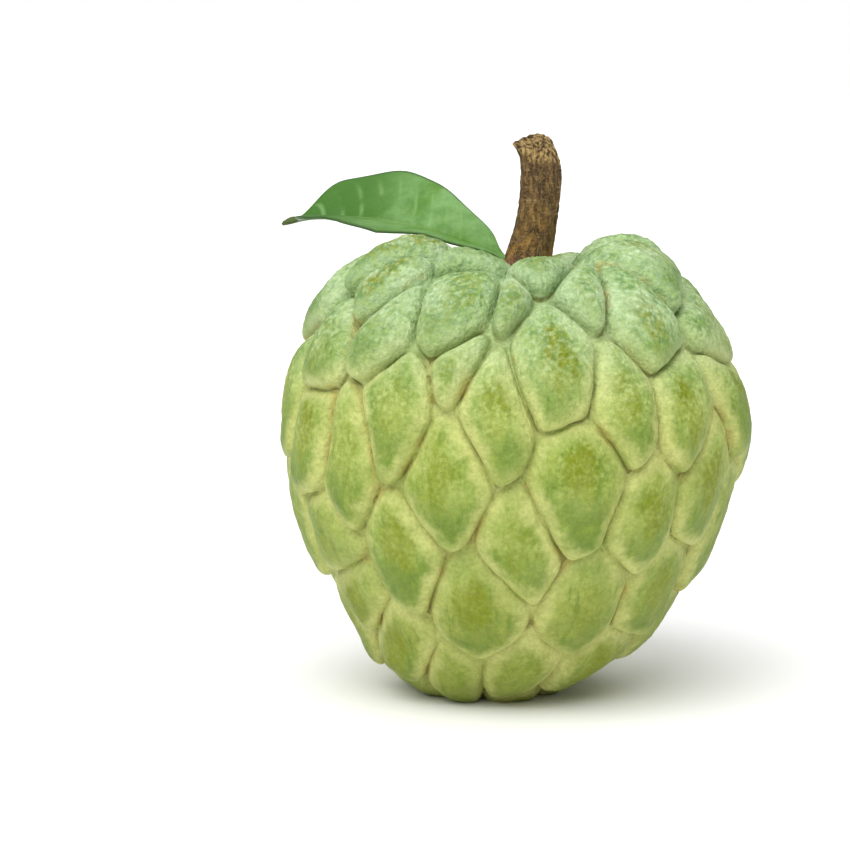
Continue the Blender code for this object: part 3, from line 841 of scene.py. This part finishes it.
def rind_bloom(tree, colour, place, height, low):
    """The pale powder, heavier on each scale's upper half as a painted highlight and towards the top partly
    as painted light from above, and the dark and pale warts of the scales near the stem.
    """
    crown = fade(tree, height, *WART_HEIGHTS)
    warts = noise_mask(tree, place, WART_SIZE, 0.46, 0.60)
    colour = mixed(tree, product(tree, warts, crown, 0.75), colour, CROWN_DARK)
    fine = noise_mask(tree, place, FINE_BLOOM_SIZE, 0.40, 0.76, detail=2.0, roughness=0.6)
    wide = noise_mask(tree, place, WIDE_BLOOM_SIZE, 0.40, 0.66)
    # Painted highlight: the pale powder is laid heavier on each scale's upper half, as if that half caught
    # the light
    upper = fade(tree, low, 0.0, 1.0, 1.0, 0.35)
    # Heavier towards the top of the fruit: partly real powder, partly painted light from above
    strength = fade(tree, height, *BLOOM_AND_TOP_LIGHT_HEIGHTS, 0.14, 0.50)
    bloom_and_highlight = product(tree, calc(tree, "ADD", fine, wide), upper, strength)
    return mixed(tree, bloom_and_highlight, colour, mixed(tree, crown, BLOOM_WARM, BLOOM_PALE)), bloom_and_highlight


def rind_borders(tree, colour, place, height, inside, corner, low):
    """What follows the borders: pale ragged margins, tan stains, olive groove lines that are darkest under
    the lower edges as painted shadow, and brown corner spots.
    """
    crown = fade(tree, height, *BLUISH_HEIGHTS)
    grain, depth = RAGGED_MARGIN
    ragged = product(tree, noise_mask(tree, place, grain, 0.20, 0.80), depth)
    margin = fade(tree, calc(tree, "SUBTRACT", inside, ragged), *MARGIN_EDGE)
    thin = noise_mask(tree, place, THIN_MARGIN_SIZE, 0.35, 0.60)
    fainter = fade(tree, crown, 0.0, 1.0, 1.0, 0.6)
    margin = product(tree, margin, fade(tree, thin, 0.0, 1.0, 0.30, 0.70), fainter)
    colour = mixed(tree, margin, colour, mixed(tree, crown, MARGIN_CREAM, MARGIN_BLUISH))
    stained = noise_mask(tree, place, STAIN_SIZE, 0.52, 0.66)
    stain = product(tree, stained, fade(tree, inside, *STAIN_EDGE), 0.70)
    colour = mixed(tree, stain, colour, STAIN_TAN)
    broken = noise_mask(tree, place, BROKEN_LINE_SIZE, 0.38, 0.60)
    # Partly painted shadow: the olive groove line is strongest under each scale's lower edge, where that edge
    # overhangs the scale below
    line = product(tree, fade(tree, inside, *LINE_EDGE), broken, fade(tree, low, 0.0, 1.0, 0.25, 0.90))
    colour = mixed(tree, line, colour, GROOVE_AND_SHADOW_OLIVE)
    spot = product(tree, fade(tree, corner, 0.70, 0.98), noise_mask(tree, place, STAIN_SIZE, 0.50, 0.64), 0.8)
    return mixed(tree, spot, colour, CORNER_BROWN)


def rind_material():
    """Leathery green rind: blotched and streaked scales with a pale powder and painted highlights on their
    upper halves, painted shade on their lower halves, olive groove lines with painted shadow under their
    lower edges, and pale margins round them.
    """
    material, tree, shader = new_material("custard_apple_rind")
    place = object_place(tree)
    height = add_node(tree, "ShaderNodeSeparateXYZ", None, Vector=place).outputs["Z"]
    inside = attribute(tree, "inside", "Fac")
    corner = attribute(tree, "corner", "Fac")
    own = add_node(tree, "ShaderNodeSeparateXYZ", None, Vector=attribute(tree, "own", "Vector")).outputs
    along = attribute(tree, "along", "Vector")
    low = fade(tree, add_node(tree, "ShaderNodeSeparateXYZ", None, Vector=along).outputs["Y"], *LOWER_HALF)
    core = fade(tree, inside, *CORE_EDGE)
    colour = rind_base(tree, place, height, own)
    colour = rind_inside(tree, colour, place, along, own, core, low)
    colour, bloom_and_highlight = rind_bloom(tree, colour, place, height, low)
    colour = rind_borders(tree, colour, place, height, inside, corner, low)
    grains, grain_height = speckle(tree, place, RIND_GRAIN)
    shade = mixed(tree, grains, (0.86, 0.87, 0.84, 1.0), (1.10, 1.09, 1.12, 1.0))
    tree.links.new(mixed(tree, 1.0, colour, shade, "MULTIPLY"), shader.inputs["Base Color"])
    rough = calc(tree, "ADD", product(tree, bloom_and_highlight, 0.35), fade(tree, grains, 0.0, 1.0, 0.46, 0.60))
    tree.links.new(rough, shader.inputs["Roughness"])
    shader.inputs["Specular IOR Level"].default_value = 0.25
    knobs = noise_mask(tree, place, KNOB_MARK_SIZE, 0.2, 0.8, roughness=0.6)
    rougher = product(tree, knobs, fade(tree, height, *ROUGH_HEIGHTS, 0.3, 0.7))
    normal = bumped(tree, rougher, 0.0008, 0.65)
    tree.links.new(bumped(tree, grain_height, 0.00018, 0.6, normal), shader.inputs["Normal"])
    return material


BARK_BROWN = paint(124, 97, 58)
BARK_DARK = paint(72, 54, 34)
BARK_OCHRE = paint(168, 126, 56)
BARK_PALE = paint(164, 138, 94)
FOOT_PINK = paint(150, 98, 84)
TORN_TAN = paint(186, 156, 98)
TORN_DARK = paint(74, 54, 30)

# The bark's patterns: their sizes in metres, and where along or across the stem they start and are full
FURROW_SIZE = 0.0008
OCHRE_SIZE = 0.003
RING_SIZE = 0.0006
BARK_GRAIN = 0.00045
FIBRE_SIZE = 0.0008
OCHRE_RISE = (0.75, 0.35)
PINK_RISE = (0.40, 0.27)
TORN_RISE = (0.955, 0.985)
TORN_REACH = (0.97, 0.88)


def bark_material():
    """Dry brown furrowed bark, ochre and pink low down, with torn tan fibres at the broken end."""
    material, tree, shader = new_material("custard_apple_bark")
    place = object_place(tree)
    rise = attribute(tree, "rise", "Fac")
    reach = attribute(tree, "reach", "Fac")
    length = stretched(tree, place, (1.0, 1.0, 0.30))
    furrows = noise_mask(tree, length, FURROW_SIZE, 0.36, 0.60, detail=4.0, roughness=0.65)
    colour = mixed(tree, furrows, BARK_DARK, BARK_BROWN)
    ochre = product(tree, noise_mask(tree, place, OCHRE_SIZE, 0.44, 0.62), fade(tree, rise, *OCHRE_RISE), 0.7)
    colour = mixed(tree, ochre, colour, BARK_OCHRE)
    rings = noise_mask(tree, stretched(tree, place, (0.25, 0.25, 1.0)), RING_SIZE, 0.54, 0.70)
    colour = mixed(tree, product(tree, rings, 0.5), colour, BARK_PALE)
    colour = mixed(tree, fade(tree, rise, *PINK_RISE, 0.0, 0.6), colour, FOOT_PINK)
    grains, grain_height = speckle(tree, place, BARK_GRAIN)
    colour = mixed(tree, product(tree, fade(tree, grains, 0.70, 1.0), 0.5), colour, BARK_PALE)
    fibres = noise_mask(tree, stretched(tree, place, (1.0, 1.0, 0.4)), FIBRE_SIZE, 0.38, 0.62, detail=4.0)
    ragged = calc(tree, "ADD", rise, product(tree, calc(tree, "SUBTRACT", fibres, 0.5), 0.04))
    torn = calc(tree, "MAXIMUM", fade(tree, reach, *TORN_REACH), fade(tree, ragged, *TORN_RISE))
    colour = mixed(tree, torn, colour, mixed(tree, fibres, TORN_DARK, TORN_TAN))
    tree.links.new(colour, shader.inputs["Base Color"])
    tree.links.new(fade(tree, grains, 0.0, 1.0, 0.75, 0.92), shader.inputs["Roughness"])
    shader.inputs["Specular IOR Level"].default_value = 0.3
    normal = bumped(tree, furrows, 0.0005, 0.8)
    tree.links.new(bumped(tree, grain_height, 0.0003, 0.9, normal), shader.inputs["Normal"])
    return material


LEAF_DEEP = paint(52, 104, 4)
LEAF_FRESH = paint(84, 130, 36)
LEAF_PAINTED_SHEEN = paint(126, 166, 106)
LEAF_PALE = paint(128, 168, 100)
LEAF_MARGIN = paint(46, 80, 22)
LEAF_RIB_GREEN = paint(112, 142, 66)
LEAF_TIP = paint(70, 76, 24)

# The leaf's patterns: their sizes in metres, and where along or across the blade they start and are full
LEAF_SHEEN_SIZE = 0.008
LEAF_PATCH_SIZE = 0.005
LEAF_VEIN_PATCH_SIZE = 0.007
LEAF_RIPPLE_SIZE = 0.0045
LEAF_GRAIN = 0.0004
FRESH_ALONG = (0.78, 0.35)
SHEEN_ALONG = (0.72, 0.45)
TIP_ALONG = (0.90, 0.96)
VEIN_ASIDE = (0.95, 0.40)
RIB_ASIDE = (0.05, 0.02)
MARGIN_ASIDE = (0.950, 0.985)


def leaf_swell(tree, along, aside, across):
    """0 on the side veins and up to 1 between them, the same way as they are raised."""
    sweep = product(tree, calc(tree, "POWER", aside, LEAF_VEIN_CURVE), LEAF_VEIN_SWEEP)
    phase = product(tree, calc(tree, "SUBTRACT", along, sweep), LEAF_VEINS)
    phase = calc(tree, "ADD", phase, product(tree, calc(tree, "SIGN", across), LEAF_VEIN_STAGGER))
    return calc(tree, "ABSOLUTE", calc(tree, "SINE", product(tree, phase, math.pi)))


def leaf_colour(tree, place, along, aside, swell):
    """Fresh green with a painted bluish sheen in the middle, deep at the tip, with faint pale veins and a
    dark thin margin.
    """
    colour = mixed(tree, fade(tree, along, *FRESH_ALONG), LEAF_DEEP, LEAF_FRESH)
    # Painted sheen: bluish pale patches in the middle of the blade stand in for reflected light
    sheen = noise_mask(tree, place, LEAF_SHEEN_SIZE, 0.35, 0.60)
    sheen = product(tree, sheen, fade(tree, along, *SHEEN_ALONG), 0.55)
    colour = mixed(tree, sheen, colour, LEAF_PAINTED_SHEEN)
    patches = noise_mask(tree, stretched(tree, place, (1.0, 1.0, 2.0)), LEAF_PATCH_SIZE, 0.35, 0.70)
    colour = mixed(tree, product(tree, patches, 0.45), colour, LEAF_DEEP)
    shown = noise_mask(tree, place, LEAF_VEIN_PATCH_SIZE, 0.35, 0.62)
    veins = product(tree, fade(tree, swell, 0.60, 0.0), fade(tree, aside, *VEIN_ASIDE), shown, 0.55)
    colour = mixed(tree, veins, colour, LEAF_PALE)
    colour = mixed(tree, fade(tree, aside, *RIB_ASIDE, 0.0, 0.7), colour, LEAF_RIB_GREEN)
    colour = mixed(tree, fade(tree, aside, *MARGIN_ASIDE, 0.0, 0.8), colour, LEAF_MARGIN)
    return mixed(tree, fade(tree, along, *TIP_ALONG, 0.0, 0.7), colour, LEAF_TIP)


def leaf_material():
    """Glossy fresh green blade, paler along its veins, with a dark thin margin and a pale midrib."""
    material, tree, shader = new_material("custard_apple_leaf")
    place = object_place(tree)
    blade = add_node(tree, "ShaderNodeSeparateXYZ", None, Vector=attribute(tree, "blade", "Vector")).outputs
    along, across = blade["X"], blade["Y"]
    aside = calc(tree, "ABSOLUTE", across)
    swell = leaf_swell(tree, along, aside, across)
    colour = leaf_colour(tree, place, along, aside, swell)
    grains, grain_height = speckle(tree, place, LEAF_GRAIN)
    shade = mixed(tree, grains, (0.90, 0.90, 0.90, 1.0), (1.08, 1.08, 1.08, 1.0))
    tree.links.new(mixed(tree, 1.0, colour, shade, "MULTIPLY"), shader.inputs["Base Color"])
    tree.links.new(fade(tree, grains, 0.0, 1.0, 0.32, 0.44), shader.inputs["Roughness"])
    shader.inputs["Specular IOR Level"].default_value = 0.3
    ripple = add_node(tree, "ShaderNodeTexNoise", None, Vector=place, Scale=1 / LEAF_RIPPLE_SIZE, Detail=2.0)
    normal = bumped(tree, ripple.outputs["Fac"], 0.0006, 0.35)
    normal = bumped(tree, swell, 0.0003, 0.15, normal)
    tree.links.new(bumped(tree, grain_height, 0.00008, 0.4, normal), shader.inputs["Normal"])
    return material


def make_floor():
    """A plain white studio floor."""
    clear_selection()
    bpy.ops.mesh.primitive_circle_add(vertices=64, radius=FLOOR_RADIUS, fill_type="NGON")
    floor = bpy.context.active_object
    floor.name = "studio_floor"
    material, tree, shader = new_material("studio_white")
    shader.inputs["Base Color"].default_value = FLOOR_WHITE
    shader.inputs["Roughness"].default_value = 0.9
    shader.inputs["Specular IOR Level"].default_value = 0.1
    floor.data.materials.append(material)


def add_sun(name, towards, energy, softness):
    """A very soft white studio light that shines in one direction all over."""
    lamp = bpy.data.lights.new(name, "SUN")
    lamp.energy = energy
    lamp.angle = softness
    item = bpy.data.objects.new(name, lamp)
    item.rotation_mode = "QUATERNION"
    item.rotation_quaternion = Vector(towards).to_track_quat("-Z", "Y")
    bpy.context.scene.collection.objects.link(item)


def light_studio():
    """Soft light from above and from the front left, with a white surround."""
    for name, towards, energy, softness in SOFTBOXES:
        add_sun(name, towards, energy, softness)
    world = bpy.data.worlds.new("studio")
    bpy.context.scene.world = world
    world.use_nodes = True
    tree = world.node_tree
    background = tree.nodes["Background"]
    seen = add_node(tree, "ShaderNodeLightPath").outputs["Is Camera Ray"]
    background.inputs["Color"].default_value = (1.0, 1.0, 1.0, 1.0)
    tree.links.new(fade(tree, seen, 0.0, 1.0, SURROUND_LIGHT, 1.0), background.inputs["Strength"])
    bpy.context.scene.view_settings.view_transform = "Standard"


def place_camera():
    """The photograph's view: from the front, a little above the fruit."""
    sine, cosine = math.sin(CAMERA_ELEVATION), math.cos(CAMERA_ELEVATION)
    ahead = Vector((0.0, cosine, -sine))
    sideways = (PHOTO_SIDE / 2 - ORIGIN_PIXEL[0]) / PIXELS_PER_METRE
    upwards = (ORIGIN_PIXEL[1] - PHOTO_SIDE / 2) / PIXELS_PER_METRE / cosine
    lens = bpy.data.cameras.new("photo_view")
    lens.sensor_width = SENSOR
    lens.lens = SENSOR * CAMERA_DISTANCE * PIXELS_PER_METRE / PHOTO_SIDE
    camera = bpy.data.objects.new("photo_view", lens)
    camera.location = Vector((sideways, 0.0, upwards)) - ahead * CAMERA_DISTANCE
    camera.rotation_mode = "QUATERNION"
    camera.rotation_quaternion = ahead.to_track_quat("-Z", "Y")
    bpy.context.scene.collection.objects.link(camera)
    bpy.context.scene.camera = camera


make_fruit()
make_stem()
make_leaf()
make_floor()
light_studio()
place_camera()
